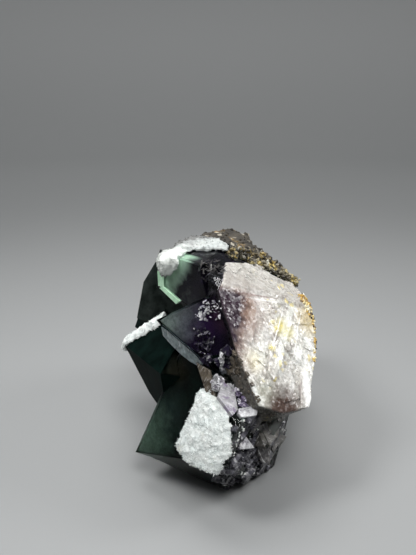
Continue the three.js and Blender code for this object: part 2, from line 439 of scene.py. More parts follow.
def insideLook(name, dark, light, zones, edge=None):
    look = Look(name)
    colour = look.ramp(look.noise(6, 5, 0.6), [(0.38, dark), (0.7, light)])
    colour = look.zones(colour, zones, look.noise(3.5, 4, 0.6))
    veins = look.noise(1.2, 5, 0.7, 0.6, look.stretched((0.4, 0.7, 0.2), (1, 0.4, 1)))
    shade = look.ramp(veins, [(0.36, (0.5, 0.5, 0.5)), (0.64, (1, 1, 1))])
    colour = look.mix(1, colour, shade, "MULTIPLY")
    if edge:
        mask = look.slope(*edge["edge"], look.noise(4, 4, 0.6), edge["sway"])
        for limit in edge["limits"]:
            mask = look.times(mask, look.slope(*limit))
        colour = look.tint(colour, mask, edge["amount"], edge["tint"])
    return look.give({"Base Color": colour, "Roughness": 0.4, "Specular IOR Level": 0.05})


paleZones = rows(
    zoneColumns,
    ((6, -25, 53), 9, 4, 0.5, (0.30, 0.215, 0.19)),
    ((5.5, -25.5, 54.5), 4, 2.5, 0.65, (0.24, 0.13, 0.055)),
    ((18, -34, 33.5), 8, 3, 0.3, (0.28, 0.25, 0.24)),
    ((10.5, -37.5, 33), 3.5, 2.5, 0.6, (0.22, 0.23, 0.15)),
    ((16, -38.5, 29.5), 5.4, 2.5, 0.95, (0.050, 0.023, 0.015)),
    ((17.7, -22.1, 46.1), 2.4, 1.6, 0.85, (0.62, 0.54, 0.12)),
    ((13.5, -28.7, 42.9), 0.8, 0.6, 0.7, (0.66, 0.56, 0.10)),
    ((8.5, -33.5, 41.5), 2.5, 2, 0.4, (0.66, 0.57, 0.30)),
    ((26, -14, 45.5), 4.5, 2.5, 0.6, (0.48, 0.34, 0.09)),
)
# brown and violet stains that grow towards the block's left edge, and the colours of its broken sides
paleEdge = {"across": (0.514, 0.46, -0.724), "brownFrom": -41.5, "brownTo": -46.5,
            "brown": (0.20, 0.115, 0.085), "violetFrom": -45.2, "violetTo": -47.8,
            "violet": (0.022, 0.011, 0.024), "sway": 3.5,
            "level": 49.3, "topLevel": 55.6, "upperHeights": (44, 48),
            "specks": (0.74, 0.62, 0.20), "speckSides": (8, 13),
            "sides": (0.024, 0.019, 0.012), "upperSides": (0.010, 0.008, 0.010), "top": (0.30, 0.275, 0.25)}

paleStreaks = (43, 31, 94, -17)  # headings of the fine cleavage lines, the main one first

# the white wedge with the lines beside it, the line along the top edge and the clear end
paleRibbons = rows(
    "start end width amount tint",
    ((24.6, -8.2), (2.9, -27.6), 3.4, 0.6, (0.86, 0.865, 0.80)),
    ((20.8, -8.3), (3.4, -23.6), 0.5, 0.8, (0.95, 0.95, 0.94)),
    ((26.5, -11), (11, -27), 0.6, 0.7, (0.95, 0.95, 0.94)),
    ((13.4, -17.2), (1, -24.8), 0.35, 0.6, (0.26, 0.24, 0.23)),
    ((12.5, -20.6), (4, -28), 0.35, 0.6, (0.26, 0.24, 0.23)),
    ((-0.5, 0.6), (21, -8.2), 0.8, 0.75, (0.20, 0.13, 0.11)),
    ((2, -1.6), (20, -9), 0.7, 0.6, (0.92, 0.92, 0.90)),
    ((13.6, -28.6), (7.2, -37.4), 0.45, 0.7, (0.26, 0.23, 0.22)),
    ((16, -27.5), (9.6, -38.5), 3.6, 0.85, (0.96, 0.96, 0.95)),
)


def paleCleavage():
    look = Look("pale cleavage")
    face = breaks["pale"]
    mottle = look.noise(1.6, 6, 0.75, 0.8)
    wobble = look.noise(3, 5, 0.65)
    broad = look.cellPart(3, "Red", look.streaked(face, 60, 2))
    small = look.cellPart(0.9, "Blue", look.streaked(face, 120, 2))
    tone = look.combine("ADD", look.times(broad, 0.25), look.times(small, 0.25))
    colour = look.ramp(look.combine("ADD", tone, look.times(mottle, 0.5)), [
        (0.28, (0.42, 0.395, 0.36)), (0.4, (0.59, 0.57, 0.52)),
        (0.52, (0.70, 0.695, 0.64)), (0.68, (0.85, 0.855, 0.81))])
    # white and grey veils, fine cleavage lines and a fine grain
    veil = look.noise(3.5, 6, 0.65, 0.4, look.streaked(face, paleStreaks[0], 3))
    colour = look.tint(colour, look.levels(veil, 0.53, 0.64), 0.75, (0.88, 0.88, 0.86))
    colour = look.tint(colour, look.levels(veil, 0.46, 0.34), 0.5, (0.46, 0.43, 0.40))
    for heading in paleStreaks:
        lines = look.noise(0.6, 2, 0.5, 0, look.streaked(face, heading, 18))
        colour = look.tint(colour, look.levels(lines, 0.64, 0.7), 0.55, (0.92, 0.92, 0.90))
    grain = look.levels(look.noise(0.5, 3, 0.6), 0.36, 0.64, 0.72, 1.08)
    colour = look.mix(1, colour, grain, "MULTIPLY")
    colour = look.zones(colour, paleZones, wobble)
    for ribbon in paleRibbons:
        patchy = look.times(look.ribbon(face, ribbon), look.levels(mottle, 0.36, 0.52, 0.4, 1))
        colour = look.mix(patchy, colour, ribbon["tint"])
    # the top, the stains at the left edge and the broken sides
    topOut, topLevel = breaks["paleTop"]["outward"], paleEdge["topLevel"]
    belowTop = look.slope(topOut, topLevel, topLevel - 1)
    onTop = look.slope(topOut, topLevel - 0.2, topLevel + 0.2)
    colour = look.tint(colour, onTop, 0.65, paleEdge["top"])
    for stain, amount, edge in (("brown", 0.75, mottle), ("violet", 0.95, wobble)):
        mask = look.slope(
            paleEdge["across"], paleEdge[stain + "From"], paleEdge[stain + "To"], edge, paleEdge["sway"])
        colour = look.tint(colour, look.times(mask, belowTop), amount, paleEdge[stain])
    sides = look.slope(face["outward"], paleEdge["level"], paleEdge["level"] - 0.5, wobble, 0.2)
    sides = look.times(sides, belowTop)
    colour = look.tint(colour, sides, 0.9, paleEdge["sides"])
    upperSides = look.times(sides, look.slope((0, 0, 1), *paleEdge["upperHeights"]))
    colour = look.tint(colour, upperSides, 0.97, paleEdge["upperSides"])
    # yellow specks on the right
    specks = look.levels(look.cellPart(1.3, "Green"), 0.9, 0.94)
    specks = look.times(specks, look.levels(look.noise(7, 2, 0.5), 0.5, 0.6))
    specks = look.times(specks, look.slope((1, 0, 0), *paleEdge["speckSides"]))
    colour = look.tint(colour, specks, 0.55, paleEdge["specks"])
    streaks = look.noise(0.8, 4, 0.6, 0, look.streaked(face, paleStreaks[0], 8))
    normal = look.facets(3, 0.12, look.bump(streaks, 0.12, 0.4), look.streaked(face, paleStreaks[0], 3))
    return look.give({
        "Base Color": colour, "Roughness": look.levels(look.cellPart(0.9), 0, 1, 0.08, 0.45),
        "Normal": look.facets(0.7, 0.4, normal), "IOR": glassLook["ior"],
        "Subsurface Weight": 0.5, "Subsurface Radius": Vector((2, 1.9, 1.9)) * mm, "Subsurface Scale": 1})


def cleavageGlass(name, dark, light, rough, lean, blotch=None, facet=0.9):
    look = Look(name)
    colour = look.ramp(look.noise(2.4, 6, 0.7, 0.4), [(0.36, dark), (0.64, light)])
    streak = look.noise(2.2, 4, 0.6, 0, look.stretched((0.5, 0.3, 0.7), (1, 7, 1)))
    colour = look.tint(colour, look.levels(streak, 0.56, 0.66), 0.45, [0.5 + 0.5 * part for part in light])
    if blotch:
        colour = look.tint(colour, look.levels(look.noise(1.8, 4, 0.6), 0.52, 0.6), 0.8, blotch)
    return look.give({
        "Base Color": colour, "Roughness": rough, "IOR": glassLook["ior"],
        "Normal": look.facets(facet, lean, look.bump(streak, 0.15, 0.5))})


# the upper crust, dimmed overall to offset the strong light on its top: painted light whitens its front, which
# faces away from the lamps, and painted shade darkens its rear left, where rock also shows through
upperCrust = [{"slope": ((-0.6, -0.8, 0), 12, 17), "tint": (0.74, 0.77, 0.73)},
              {"slope": ((-0.6, 0.8, 0), 1, 4), "tint": (0.12, 0.12, 0.115)}]


def whiteCrust(name, brightness, patches=()):
    look = Look(name)
    cloud = look.noise(2.5, 5, 0.6)
    stops = [(0.28, (0.79, 0.85, 0.83)), (0.45, (0.88, 0.93, 0.91)), (0.65, (0.94, 0.97, 0.945))]
    colour = look.ramp(cloud, [(at, [brightness * part for part in shade]) for at, shade in stops])
    stain = look.levels(look.noise(4, 4, 0.6), 0.62, 0.74, 0, 0.4)
    colour = look.mix(stain, colour, [brightness * part for part in (0.85, 0.81, 0.60)])
    for patch in patches:
        colour = look.tint(colour, look.slope(*patch["slope"], cloud, 4), 0.9, patch["tint"])
    return look.give({
        "Base Color": colour, "Roughness": 0.55, "Subsurface Weight": 0.15,
        "Subsurface Radius": Vector((0.6, 0.6, 0.6)) * mm,
        "Normal": look.bump(look.noise(0.5, 4, 0.7), 0.25, 0.7)})


# near-black crystal faces with almost no reflection: on the fluorite's faces this is painted shade, standing in
# for the dark surroundings that glossy faces reflect
def unreflectingDarkCrystal(name, dark, light):
    look = Look(name)
    return look.give({
        "Base Color": look.ramp(look.noise(4, 5, 0.6), [(0.35, dark), (0.7, light)]),
        "Roughness": 0.55, "Specular IOR Level": 0.01, "Normal": look.bump(look.noise(1.2), 0.1, 0.4)})


def matrixStone():
    look = Look("matrix stone")
    colour = look.ramp(look.noise(8, 6, 0.65), [
        (0.3, (0.014, 0.012, 0.010)), (0.45, (0.030, 0.025, 0.018)),
        (0.58, (0.060, 0.051, 0.038)), (0.72, (0.13, 0.117, 0.094))])
    ochre = look.levels(look.noise(5, 4, 0.6), 0.56, 0.68, 0, 0.7)
    colour = look.mix(ochre, colour, (0.30, 0.19, 0.06))
    grain = look.cellPart(1.1)
    colour = look.mix(look.levels(grain, 0.95, 0.97, 0, 0.6), colour, (0.50, 0.46, 0.38))
    colour = look.mix(look.levels(grain, 0.14, 0.1, 0, 0.8), colour, (0.04, 0.035, 0.03))
    return look.give({
        "Base Color": colour, "Roughness": 0.8, "Normal": look.bump(look.noise(1, 6, 0.7), 0.5, 0.8)})


def grainLook(name, stops):
    look = Look(name)
    return look.give({
        "Base Color": look.ramp(look.cellPart(1.2), stops),
        "Roughness": 0.45, "Normal": look.bump(look.noise(0.5), 0.1, 0.5)})


looks = {
    "glass": fluoriteGlass(),
    "green": insideLook("green inside", (0.0008, 0.0022, 0.0018), (0.004, 0.013, 0.010), greenZones),
    "violet": insideLook(
        "violet inside", (0.003, 0.002, 0.005), (0.011, 0.006, 0.020), violetZones, upperGreen),
    "pale": paleCleavage(),
    "crust": whiteCrust("white crust", 0.76),
    # the upper crust's low brightness is painted shade against the strong light on its top
    "upperCrust": whiteCrust("upper crust with painted light and shade", 0.5, upperCrust),
    "dulled": unreflectingDarkCrystal("dark crystal without reflection, painted shade", (0.001, 0.003, 0.0025), (0.003, 0.009, 0.0075)),
    "rearUnreflecting": unreflectingDarkCrystal("rear dark crystal without reflection", (0.004, 0.006, 0.005), (0.022, 0.027, 0.025)),
    "stone": matrixStone(),
    "ochre": grainLook("ochre grains", [
        (0.12, (0.03, 0.025, 0.02)), (0.25, (0.42, 0.24, 0.04)), (0.5, (0.66, 0.52, 0.20)),
        (0.75, (0.74, 0.69, 0.50)), (0.95, (0.82, 0.80, 0.72))]),
    "paleDruse": grainLook("beige druse", [
        (0.1, (0.04, 0.034, 0.024)), (0.3, (0.14, 0.12, 0.08)), (0.55, (0.27, 0.245, 0.18)),
        (0.8, (0.42, 0.32, 0.09)), (0.95, (0.46, 0.45, 0.38))]),
    "druse": grainLook("dark druse", [
        (0.1, (0.02, 0.017, 0.012)), (0.35, (0.042, 0.035, 0.022)), (0.6, (0.085, 0.074, 0.052)),
        (0.86, (0.27, 0.19, 0.045)), (0.96, (0.26, 0.25, 0.21))]),
}
# cleaved crystal: the two colours, the roughness, how far the facets lean, and a blotch or the facets' size
cleavages = {
    "dark": ((0.003, 0.003, 0.006), (0.018, 0.013, 0.030), 0.04, 0.6, None, 1.7),
    "lilac": ((0.20, 0.195, 0.205), (0.40, 0.395, 0.41), 0.12, 0.3, (0.16, 0.12, 0.20)),
    "olive": ((0.022, 0.020, 0.017), (0.12, 0.112, 0.10), 0.45, 0.2),
    "grey": ((0.09, 0.11, 0.115), (0.25, 0.30, 0.31), 0.1, 0.08),
    "mint": ((0.34, 0.60, 0.38), (0.55, 0.80, 0.58), 0.1, 0.05),
    # the white cleavage is the colour of the corner's painted glints
    "white": ((0.50, 0.50, 0.49), (0.78, 0.78, 0.77), 0.12, 0.35),
    "violet": ((0.04, 0.026, 0.058), (0.24, 0.20, 0.30), 0.1, 0.5, (0.52, 0.51, 0.54)),
    "plate": ((0.22, 0.215, 0.23), (0.62, 0.62, 0.63), 0.12, 0.4, (0.13, 0.115, 0.145)),
    "tan": ((0.030, 0.023, 0.016), (0.13, 0.11, 0.085), 0.2, 0.2),
    # the corner cleavage's bluish grey light colour is partly painted reflection: the grey-blue its small
    # facets reflect
    "corner": ((0.006, 0.006, 0.009), (0.10, 0.098, 0.115), 0.06, 0.6, None, 1.2),
    "smoky": ((0.012, 0.011, 0.013), (0.15, 0.142, 0.138), 0.08, 0.3, None, 1.3),
}
for name, values in cleavages.items():
    looks[name + "Cleavage"] = cleavageGlass(name + " cleavage", *values)
print("materials ready", len(looks))


# the clear crystals with their edges a little worn

crystalEdges = {"width": 0.22, "angle": 14, "underPale": 0.3, "underPaleTop": 0.3,
                "dulledFacing": -0.15, "dulledAbove": 14, "dulledRear": 5, "rearFacing": -0.5,
                "leftFace": (-0.57, -0.18, 0.8), "leftMatch": 0.97, "leftOf": -8}
fluoriteCrystals = copyOfNode("fluorite", "fluoriteCrystals")
cutAway(fluoriteCrystals, breaks["pale"], crystalEdges["underPale"])
cutAway(fluoriteCrystals, breaks["paleTop"], crystalEdges["underPaleTop"])
bevelEdges(fluoriteCrystals, crystalEdges["width"], angle_limit=math.radians(crystalEdges["angle"]),
           use_clamp_overlap=True)
finishPiece(fluoriteCrystals, looks["glass"], "fluorite", "fluorite")
# faces under the crystals, on the left at the rear and on the left crystal's top get a near-black material with
# almost no reflection: painted shade for glossy faces that reflect dark surroundings, with their faint sheen
# painted into its colour
fluoriteCrystals.data.materials.append(looks["dulled"])
leftFacing = Vector(crystalEdges["leftFace"]).normalized()
for face in fluoriteCrystals.data.polygons:
    under = face.normal.z < crystalEdges["dulledFacing"] and face.center.z > crystalEdges["dulledAbove"] * mm
    rear = face.normal.x < crystalEdges["rearFacing"] and face.center.y > crystalEdges["dulledRear"] * mm
    alike = face.normal.dot(leftFacing) > crystalEdges["leftMatch"]
    left = alike and face.center.x < crystalEdges["leftOf"] * mm
    if under or rear or left:
        face.material_index = 1

# the dark rear crystal that rises behind the upper one: an octahedron with its corners broken off
rearCrystal = {"middle": (-9, 16, 44), "reach": 36, "edge": 0.44, "planes": rows(
    "point outward",
    ((-25.9, 7, 50.4), (-0.97, 0.15, 0.15)),
    ((-19.5, 7, 60.6), (-0.85, 0.15, 0.5)),
    ((-12, 7, 64.3), (-0.46, 0.2, 0.87)),
    ((-9.8, 7, 65.4), (0.6, 0.1, 0.8)),
    ((0, 14, 50), (1, 0, 0)),
    ((-10, 18, 54), (-0.25, 0.78, 0.58)),
    ((-10, 6, 52), (-0.3, -0.9, 0.3)),
    ((-10, 14, 34), (-0.2, 0, -1)))}


def addRearCrystal():
    piece = addOctahedron("rearCrystal", rearCrystal["middle"], rearCrystal["reach"], Matrix.Identity(3))
    for flat in rearCrystal["planes"]:
        cutAway(piece, flat, 0)
    bevelEdges(piece, rearCrystal["edge"])
    return piece


finishPiece(addRearCrystal(), looks["rearUnreflecting"], "fluorite")

# the dark inside of each crystal, a skin's depth under its faces
for inside in ("green", "violet"):
    cores = []
    for name, crystal in crystals.items():
        if crystal["inside"] != inside:
            continue
        reach = crystal["reach"] - crystal["skin"] * math.sqrt(3)
        core = addOctahedron(name + "Inside", crystal["middle"], reach, turnOf(crystal))
        for breakName in crystal["breaks"]:
            cutAway(core, breaks[breakName], crystal["skin"])
        for over in crystal["under"]:
            outer = crystals[over]
            cover = addOctahedron("cover", outer["middle"], outer["reach"], turnOf(outer))
            applyModifier(core, "BOOLEAN", operation="DIFFERENCE", object=cover, solver="EXACT")
            bpy.data.objects.remove(cover)
        cores.append(core)
    finishPiece(joinPieces(cores, inside + "Inside"), looks[inside], "fluorite")


# the pale cleaved block on the right, split in low steps

paleBlock = {
    "outline": [(-1.7, -5), (-2.3, -9.6), (-3.4, -15.2), (-3.7, -18), (-4.4, -32), (2, -36.4), (9.5, -37.9),
                (15.8, -33.2), (22.7, -26.2), (28.1, -18.1), (31.1, -9), (30.8, -3.5), (24.6, 1.7),
                (21.6, 4.6), (18.6, 7.1), (9.7, 8.6), (5.4, 5.2), (2.4, 2.6), (-0.6, 0.4)],
    "depth": 17.5, "proud": 0.1, "fineness": 0.38, "sideShare": 0.3,
    "leftEdge": 3.5, "leftLean": 0.12, "leftFade": 5,
    "stepSize": 7, "stepHeight": 0.3, "stepLean": 0.04, "chipSize": 2.2, "chipHeight": 0.06, "chipLean": 0.035,
    "ledges": [
        ([(1, -4), (9, -6), (13, -16), (6, -22), (-1, -14)], 0.3),
        ([(13, -9), (19, -11), (20, -22), (15, -27), (12, -20)], 0.45),
        ([(4, -24), (11, -27), (9, -35), (3, -34)], 0.4),
        ([(20, -8), (26, -10), (25, -17), (21, -16)], 0.3),
    ],
}


def insideOutline(outline, along, up):
    inside = np.zeros(len(along), bool)
    for (x0, y0), (x1, y1) in zip(outline, outline[1:] + outline[:1]):
        if y0 == y1:
            continue
        crosses = ((y0 > up) != (y1 > up)) & (along < (x1 - x0) * (up - y0) / (y1 - y0) + x0)
        inside ^= crosses
    return inside


def splitHeight(point, size, height, lean):
    # flat splits: each cell has a height and a lean of its own
    middle = noise.voronoi(Vector(point) / size)[1][0]
    slope = noise.cell_vector(middle * 37.7) - Vector((0.5, 0.5, 0.5))
    return noise.cell(middle * 21.3) * height + (Vector(point) - middle * size).dot(slope) * 2 * lean


def addPaleBlock():
    values = paleBlock
    axes = faceAxes(breaks["pale"])
    out = axes.to_3x3() @ Vector((0, 0, 1))
    bpy.ops.mesh.primitive_circle_add(vertices=len(values["outline"]), fill_type="NGON")
    block = bpy.context.object
    block.name = "paleBlock"
    for vertex, (along, up) in zip(block.data.vertices, values["outline"]):
        vertex.co = axes @ (Vector((along, up, values["proud"])) * mm)
    editAll(block)
    bpy.ops.mesh.extrude_region_move(TRANSFORM_OT_translate={"value": out * -(values["depth"] * mm)})
    outwardNormals()
    cutAway(block, breaks["paleTop"], -values["proud"])
    corners, normals = remeshed(block, values["fineness"])
    turned = np.array(axes.inverted())
    flat = (corners @ turned[:3, :3].T + turned[:3, 3]) / mm
    along, up = flat[:, 0], flat[:, 1]
    front = np.clip(normals @ np.array(out) * 2 - 0.6, 0, 1)
    topOut = np.array(Vector(breaks["paleTop"]["outward"]).normalized())
    top = np.clip(normals @ topOut * 2 - 0.6, 0, 1)
    # level with the dark crystal at the left
    fade = np.clip((along + values["leftEdge"] + values["leftLean"] * up) / values["leftFade"], 0, 1)
    height = np.zeros(len(corners))
    for outline, rise in values["ledges"]:
        height += rise * insideOutline(outline, along, up) * front * fade
    for i, point in enumerate(flat):
        stretched = (point[0] + point[1] * 0.5, point[1] * 0.55 - point[0] * 0.2, point[2] * 0.3)
        step = splitHeight(stretched, values["stepSize"], values["stepHeight"], values["stepLean"])
        chip = splitHeight(point, values["chipSize"], values["chipHeight"], values["chipLean"])
        height[i] += max(0, step + chip) * max(front[i], top[i], values["sideShare"]) * fade[i]
    setCorners(block, corners + normals * (height * mm)[:, None])
    return block


finishPiece(addPaleBlock(), looks["pale"], "fluorite", smooth=24)


# thin cleavage flakes lying on the broken faces: three directions of edges, as the crystal splits

flakeGroups = {
    "paleFlakes": {"face": "pale", "look": "pale", "count": 30, "sizes": (0.8, 4), "thickness": 0.3,
        "tilt": 4, "lift": 0.35, "heading": 20, "seed": 5,
        "outline": [(5, -3), (3, -13), (0, -28), (3, -33.5), (9.5, -35), (14.5, -30.5), (20, -24), (25, -17),
            (26, -12)]},
    "paleTopFlakes": {"face": "paleTop", "look": "pale", "count": 22, "sizes": (1, 4), "thickness": 0.3,
        "tilt": 3, "lift": 0.4, "heading": 50, "seed": 6,
        "outline": [(9, 3), (12, 4.5), (19, 1.5), (25, -2), (28, -9), (26, -13), (15, -8)]},
    # centralSparkles: pale flakes whose light colour paints the sparkles of light on the central crystal's face
    "centralSparkles": {"face": "centralFace", "look": "plateCleavage", "count": 70, "sizes": (0.2, 0.8),
        "stretch": (1, 3), "thickness": 0.2, "tilt": 22, "lift": 0.3, "heading": 40, "seed": 7,
        "outline": [(-1.8, 6.5), (3.3, 7.4), (4.4, 2.4), (1, 1.2), (-4, 1.5)]},
    "centralChips": {"face": "centralFace", "look": "darkCleavage", "count": 45, "sizes": (0.3, 1.2),
        "thickness": 0.4, "stretch": (1, 4), "tilt": 16, "lift": 0.35, "heading": 35, "seed": 9,
        "outline": [(-4, -1), (3.5, -2.2), (4, -7), (0, -8)]},
    "upperLines": {"face": "upperRight", "look": "smokyCleavage", "count": 70, "sizes": (0.15, 0.45),
        "thickness": 0.2, "stretch": (4, 11), "tilt": 9, "lift": 0.3, "heading": 75, "seed": 10,
        "outline": [(-2.7, 2.5), (1.6, 3.2), (4.5, 1.2), (5.3, -2.1), (1.3, -4.2), (-2.1, -2.6)]},
    "neckFlakes": {"face": "neck", "look": "plateCleavage", "count": 120, "sizes": (0.3, 1.6),
        "thickness": 0.4, "tilt": 20, "lift": 0.7, "heading": 15, "seed": 12,
        "outline": [(-2, 3), (-0.6, 2.6), (1.2, -1.8), (3, -4.4), (-0.5, -2.5), (-3.8, -0.5)]},
    # neckRidge: pale flakes along the ridge, whose light colour paints the line of glints along it
    "neckRidge": {"face": "centralFront", "look": "plateCleavage", "count": 120, "sizes": (0.3, 1),
        "thickness": 0.8, "tilt": 32, "lift": 0.9, "heading": 80, "seed": 15,
        "outline": [(1, 0.9), (1.2, 0.9), (1.6, -1.5), (2.1, -6.6), (0.6, -6.6), (0.7, -1.5)]},
    "wallStreaks": {"face": "wall", "look": "tanCleavage", "count": 60, "sizes": (0.3, 1.6), "thickness": 0.2,
        "tilt": 8, "lift": 0.35, "heading": 0, "seed": 16,
        "outline": [(-4, 4), (0.4, 5.5), (10, -6), (6, -6), (-2.3, -2)]},
    "neckViolet": {"face": "neck", "look": "violetCleavage", "count": 80, "sizes": (0.3, 1.3),
        "thickness": 0.4, "tilt": 20, "lift": 0.6, "heading": 15, "seed": 14,
        "outline": [(1.2, -2), (4.2, -6.5), (4.4, -9), (0.5, -7.5)]},
}
# common to all flakes: a bias to small ones, the sway of their headings, how far corners are cut,
# the size from which they lie lower, and how deep they are rooted
flakeForm = {"smaller": 2.5, "sway": 4, "cut": (0.12, 0.37), "stretch": (1, 1.8), "lowFrom": 2.5, "root": 0.6}
plateEdge = 0.12  # width of the plates' worn edges
platesOnFaces = namedRows(
    "face look lift thickness outline",
    whiteWedge=("pale", "pale", 1.0, 1.5,
        [(12, -17.6), (6.6, -19.6), (2.8, -24.9), (3.1, -27.6), (8.1, -24.9), (11.4, -21.7)]),
    endPrism=("pale", "pale", 1.1, 2, [(12.7, -29.3), (7.7, -37.3), (10.4, -38), (12.6, -36.3), (17, -29)]),
    greenStrip=("upperFace", "mintCleavage", 0.4, 1.5,
        [(-7.1, -5.6), (0.5, -8.9), (2.3, -7.5), (-5.2, -4.8)]),
    greenEnd=("upperFace", "mintCleavage", 0.2, 2.5, [(-7.9, -0.5), (-7.8, -5.2), (-5.0, -5.0), (-4.8, 0.7)]),
    centralBand=("centralBevel", "greyCleavage", 0, 1.6,
        [(-7.4, 4.4), (-4.6, 3.9), (-1.6, 2.6), (2.1, 1.2), (5.6, -0.8), (8, -2.6), (6.6, -4), (2.9, -3.6),
            (-0.8, -2.3), (-4.5, -0.2), (-7.1, 1.6)]),
    neckPlate=("neck", "plateCleavage", 0.9, 1.2,
        [(-0.9, -7.8), (-1.9, -8.9), (-1.5, -10.2), (2.9, -11.3), (4.6, -9.9), (3.2, -8.6)]),
    neckSide=("neck", "lilacCleavage", 0.7, 1.2,
        [(-4.6, -2.8), (-3.7, -8.8), (-1.2, -8), (1, -3), (-0.8, 0.5)]),
    cornerFacet=("cornerUp", "plateCleavage", 0, 3, [(0, 2.6), (-2, -1.6), (2.4, -2)]),
    cornerTop=("cornerSide", "smokyCleavage", 0, 4,
        [(-3.6, 3.4), (2.6, 3), (3.4, -1.6), (0.2, -4), (-2, -1.8)]),
    cornerPillar=("pillarSide", "smokyCleavage", 0, 4,
        [(-1.8, 5.5), (1.6, 6.2), (2.4, 0), (1.4, -6), (-1.6, -4.6), (-2.2, 0.6)]),
    # neckStrip: a tan plate along the lower crystal's edge, partly the strip's own colour and partly a painted
    # highlight along that edge
    neckStrip=("lowerFace", "tanCleavage", 0.5, 1.2, [(7, 22.3), (13.6, 15.6), (16.7, 16.1), (12.3, 21.8)]),
)


def insidePoint(outline, along, up):
    return insideOutline(outline, np.array([along]), np.array([up]))[0]


def addSlab(corners, sides, axes, top, drop):
    # the top's corners, the same corners lower down, and the faces between them
    first, count = len(corners), len(top)
    for depth in (0, drop):
        corners.extend(axes @ (Vector((along, up, height + depth)) * mm) for along, up, height in top)
    sides.append(tuple(first + i for i in range(count)))
    sides.append(tuple(first + count + i for i in reversed(range(count))))
    for i in range(count):
        j = (i + 1) % count
        sides.append((first + j, first + i, first + count + i, first + count + j))


def addFlakes(name, values):
    rng = np.random.default_rng(values["seed"])
    axes = faceAxes(faces[values["face"]])
    alongs = [corner[0] for corner in values["outline"]]
    ups = [corner[1] for corner in values["outline"]]
    corners, sides = [], []
    made = 0
    while made < values["count"]:
        along = rng.uniform(min(alongs), max(alongs))
        up = rng.uniform(min(ups), max(ups))
        if not insidePoint(values["outline"], along, up):
            continue
        made += 1
        size = between(rng, values["sizes"], flakeForm["smaller"])
        heading = math.radians(values["heading"] + 60 * rng.integers(6) + flakeForm["sway"] * rng.normal())
        # a triangle with its corners cut off, drawn out along one edge
        flat = []
        for i in range(3):
            tip = heading + i * 2 * math.pi / 3
            cut = between(rng, flakeForm["cut"])
            flat += [(math.cos(tip - cut), math.sin(tip - cut)), (math.cos(tip + cut), math.sin(tip + cut))]
        stretch = between(rng, values.get("stretch", flakeForm["stretch"]))
        turn = Matrix.Rotation(heading, 2)
        shape = [turn @ Vector((x * 0.5 * size * stretch, y * 0.5 * size)) for x, y in flat]
        tilt = np.radians(rng.normal(size=2) * values["tilt"])
        lift = values["lift"] * rng.random() * min(1, flakeForm["lowFrom"] / size + 0.3)
        bottom = lift - values["thickness"] * between(rng, (0.6, 1.4)) - flakeForm["root"]
        top = [(along + x, up + y, lift + x * math.tan(tilt[0]) + y * math.tan(tilt[1])) for x, y in shape]
        addSlab(corners, sides, axes, top, bottom - lift)
    return meshPiece(name, corners, sides)


def addPlate(name, values):
    corners, sides = [], []
    top = [(along, up, values["lift"]) for along, up in values["outline"]]
    addSlab(corners, sides, faceAxes(faces[values["face"]]), top, -values["thickness"])
    plate = meshPiece(name, corners, sides)
    editAll(plate)
    outwardNormals()
    bevelEdges(plate, plateEdge)
    return plate


for groups, addPart in ((flakeGroups, addFlakes), (platesOnFaces, addPlate)):
    for name, values in groups.items():
        finishPiece(addPart(name, values), looks[values["look"]], "fluorite")


# small cleavage steps on the broken parts: each group copies one octahedron in its crystal's own directions

def surfaceSpots(piece, count, seed, accept=None):
    # random points on a piece, spread by area: place and normal
    rng = np.random.default_rng(seed)
    piece.data.calc_loop_triangles()
    triangles = np.empty(len(piece.data.loop_triangles) * 3, int)
    piece.data.loop_triangles.foreach_get("vertices", triangles)
    corners = cornerArray(piece)[triangles.reshape(-1, 3)]
    normals = np.cross(corners[:, 1] - corners[:, 0], corners[:, 2] - corners[:, 0])
    areas = np.linalg.norm(normals, axis=1)
    keep = areas > 0
    if accept is not None:
        keep &= accept(corners.mean(axis=1) / mm, normals / np.maximum(areas, 1e-20)[:, None])
    corners, normals, areas = corners[keep], normals[keep], areas[keep]
    chosen = rng.choice(len(areas), count, p=areas / areas.sum())
    u = np.sqrt(rng.random(count))[:, None]
    v = rng.random(count)[:, None]
    places = corners[chosen, 0] * (1 - u) + corners[chosen, 1] * u * (1 - v) + corners[chosen, 2] * u * v
    return places, normals[chosen] / areas[chosen][:, None], rng


octahedronCorners = np.array([(1, 0, 0), (-1, 0, 0), (0, 1, 0), (0, -1, 0), (0, 0, 1), (0, 0, -1)], float)
octahedronFaces = np.array([
    (0, 2, 4), (2, 1, 4), (1, 3, 4), (3, 0, 4), (2, 0, 5), (1, 2, 5), (3, 1, 5), (0, 3, 5)])
golden = (1 + math.sqrt(5)) / 2
lumpCorners = np.array([
    (-1, golden, 0), (1, golden, 0), (-1, -golden, 0), (1, -golden, 0), (0, -1, golden), (0, 1, golden),
    (0, -1, -golden), (0, 1, -golden), (golden, 0, -1), (golden, 0, 1),
    (-golden, 0, -1), (-golden, 0, 1)]) / 1.9  # reaches about 1 from its middle
lumpFaces = np.array([
    (0, 11, 5), (0, 5, 1), (0, 1, 7), (0, 7, 10), (0, 10, 11), (1, 5, 9), (5, 11, 4), (11, 10, 2), (10, 7, 6),
    (7, 1, 8), (3, 9, 4), (3, 4, 2), (3, 2, 6), (3, 6, 8), (3, 8, 9), (4, 9, 5), (2, 4, 11), (6, 2, 10),
    (8, 6, 7), (9, 8, 1)])
blockCorners = np.array([(x, y, z) for x in (-1, 1) for y in (-1, 1) for z in (-1, 1)], float)
blockFaces = np.array([
    (0, 1, 3, 2), (4, 6, 7, 5), (0, 4, 5, 1), (2, 3, 7, 6), (0, 2, 6, 4), (1, 5, 7, 3)])


def joinedCopies(name, baseCorners, baseFaces, placements):
    # every placement is a 3 by 3 shape and a place
    corners = np.concatenate([baseCorners @ shape.T + place for shape, place in placements])
    count = len(baseCorners)
    faces = np.concatenate([baseFaces + count * i for i in range(len(placements))])
    return meshPiece(name, corners.tolist(), faces.tolist())


def turnNear(rng, degrees):
    axis = Vector(rng.normal(size=3)).normalized()
    return np.array(Matrix.Rotation(math.radians(degrees) * rng.normal(), 3, axis))


